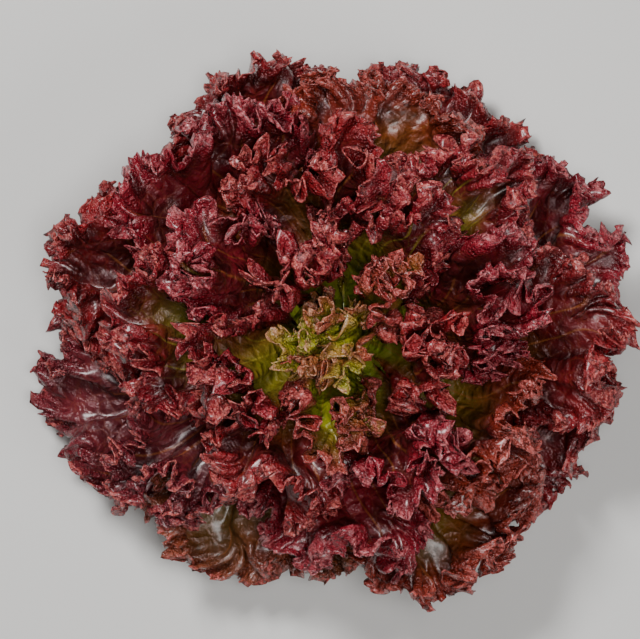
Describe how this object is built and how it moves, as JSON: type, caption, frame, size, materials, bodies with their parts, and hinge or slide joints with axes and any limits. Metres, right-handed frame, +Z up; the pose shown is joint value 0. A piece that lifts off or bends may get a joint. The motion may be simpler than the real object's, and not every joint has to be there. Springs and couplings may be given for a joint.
{
  "type": "lollo rosso lettuce",
  "caption": "Head of lollo rosso lettuce: frilled red leaves spiral round a cut stem, with a small green heart; rests upright on the cut.",
  "frame": {"origin": "middle of the stem's cut face, which the head rests on", "axes": "+Z up along the stem towards the heart; +X along the long way across the head"},
  "size_m": [0.2497, 0.2233, 0.1178],
  "materials": {
    "outer_leaf": "crisp burgundy leaf, satin, with paler frilled edges and a green rib",
    "middle_leaf": "crisp dark red leaf, satin, with a green rib",
    "inner_leaf": "crisp red-brown leaf turning green towards its base, satin",
    "heart": "tender yellow-green leaf with bronze edges, satin",
    "stem": "pale green stem, matte, with a moist cut face"
  },
  "bodies": {
    "root": {"stem": "stem", "outer_leaf_1": "outer_leaf", "outer_leaf_2": "outer_leaf", "outer_leaf_3": "outer_leaf", "outer_leaf_4": "outer_leaf", "outer_leaf_5": "outer_leaf", "outer_leaf_6": "outer_leaf", "outer_leaf_7": "outer_leaf", "outer_leaf_8": "outer_leaf", "outer_leaf_9": "outer_leaf", "outer_leaf_10": "outer_leaf", "middle_leaf_1": "middle_leaf", "middle_leaf_2": "middle_leaf", "middle_leaf_3": "middle_leaf", "middle_leaf_4": "middle_leaf", "middle_leaf_5": "middle_leaf", "middle_leaf_6": "middle_leaf", "middle_leaf_7": "middle_leaf", "middle_leaf_8": "middle_leaf", "middle_leaf_9": "middle_leaf", "inner_leaf_1": "inner_leaf", "inner_leaf_2": "inner_leaf", "inner_leaf_3": "inner_leaf", "inner_leaf_4": "inner_leaf", "inner_leaf_5": "inner_leaf", "inner_leaf_6": "inner_leaf", "inner_leaf_7": "inner_leaf", "inner_leaf_8": "inner_leaf", "heart": "heart"}
  },
  "joints": []
}
